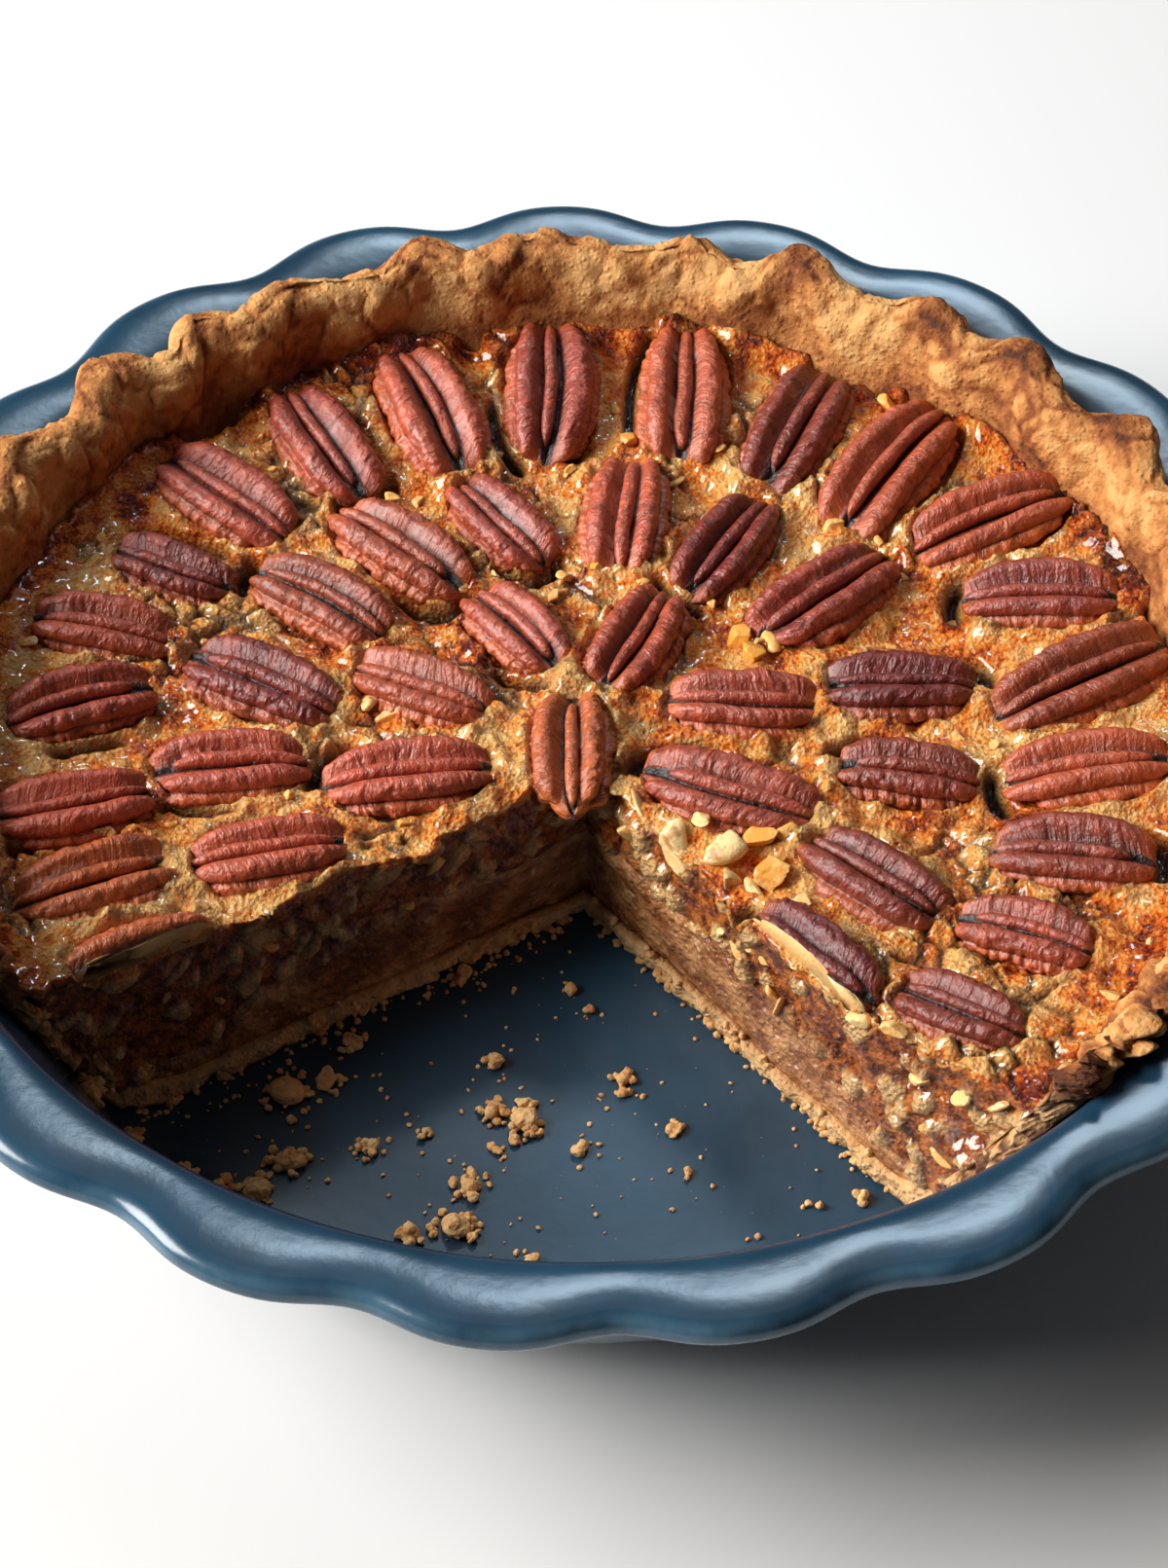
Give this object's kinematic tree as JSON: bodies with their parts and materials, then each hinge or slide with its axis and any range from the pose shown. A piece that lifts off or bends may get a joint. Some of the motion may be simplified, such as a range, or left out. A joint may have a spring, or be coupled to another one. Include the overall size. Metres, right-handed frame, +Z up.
{
  "type": "pecan pie",
  "caption": "Round pecan pie in a fluted ceramic pie dish with one slice taken out: crimped pastry case, custard, chopped-nut layer and rings of pecan halves.",
  "frame": {"origin": "centre of the dish's flat base, on the surface it stands on", "axes": "+Z up through the pie's centre, -Y out through the missing slice, +X to the right when the missing slice faces the viewer"},
  "size_m": [0.2621, 0.2629, 0.0656],
  "materials": {
    "dish_glaze": "satin blue-grey glaze",
    "pastry": "baked shortcrust, matte, golden with browned ridges",
    "custard": "set syrup filling, moist and glossy",
    "nut_layer": "baked chopped nuts in syrup, rough with moist glints",
    "pecan_skin": "roasted pecan skin, satin"
  },
  "bodies": {
    "root": {"dish": "dish_glaze", "crust": "pastry", "custard": "custard", "nut_layer": "nut_layer", "pecan_01": "pecan_skin", "pecan_02": "pecan_skin", "pecan_03": "pecan_skin", "pecan_04": "pecan_skin", "pecan_05": "pecan_skin", "pecan_06": "pecan_skin", "pecan_07": "pecan_skin", "pecan_08": "pecan_skin", "pecan_09": "pecan_skin", "pecan_10": "pecan_skin", "pecan_11": "pecan_skin", "pecan_12": "pecan_skin", "pecan_13": "pecan_skin", "pecan_14": "pecan_skin", "pecan_15": "pecan_skin", "pecan_16": "pecan_skin", "pecan_17": "pecan_skin", "pecan_18": "pecan_skin", "pecan_19": "pecan_skin", "pecan_20": "pecan_skin", "pecan_21": "pecan_skin", "pecan_22": "pecan_skin", "pecan_23": "pecan_skin", "pecan_24": "pecan_skin", "pecan_25": "pecan_skin", "pecan_26": "pecan_skin", "pecan_27": "pecan_skin", "pecan_28": "pecan_skin", "pecan_29": "pecan_skin", "pecan_30": "pecan_skin", "pecan_31": "pecan_skin", "pecan_32": "pecan_skin", "pecan_33": "pecan_skin", "pecan_34": "pecan_skin", "pecan_35": "pecan_skin", "pecan_36": "pecan_skin", "pecan_37": "pecan_skin", "pecan_38": "pecan_skin", "pecan_39": "pecan_skin", "pecan_40": "pecan_skin"}
  },
  "joints": []
}
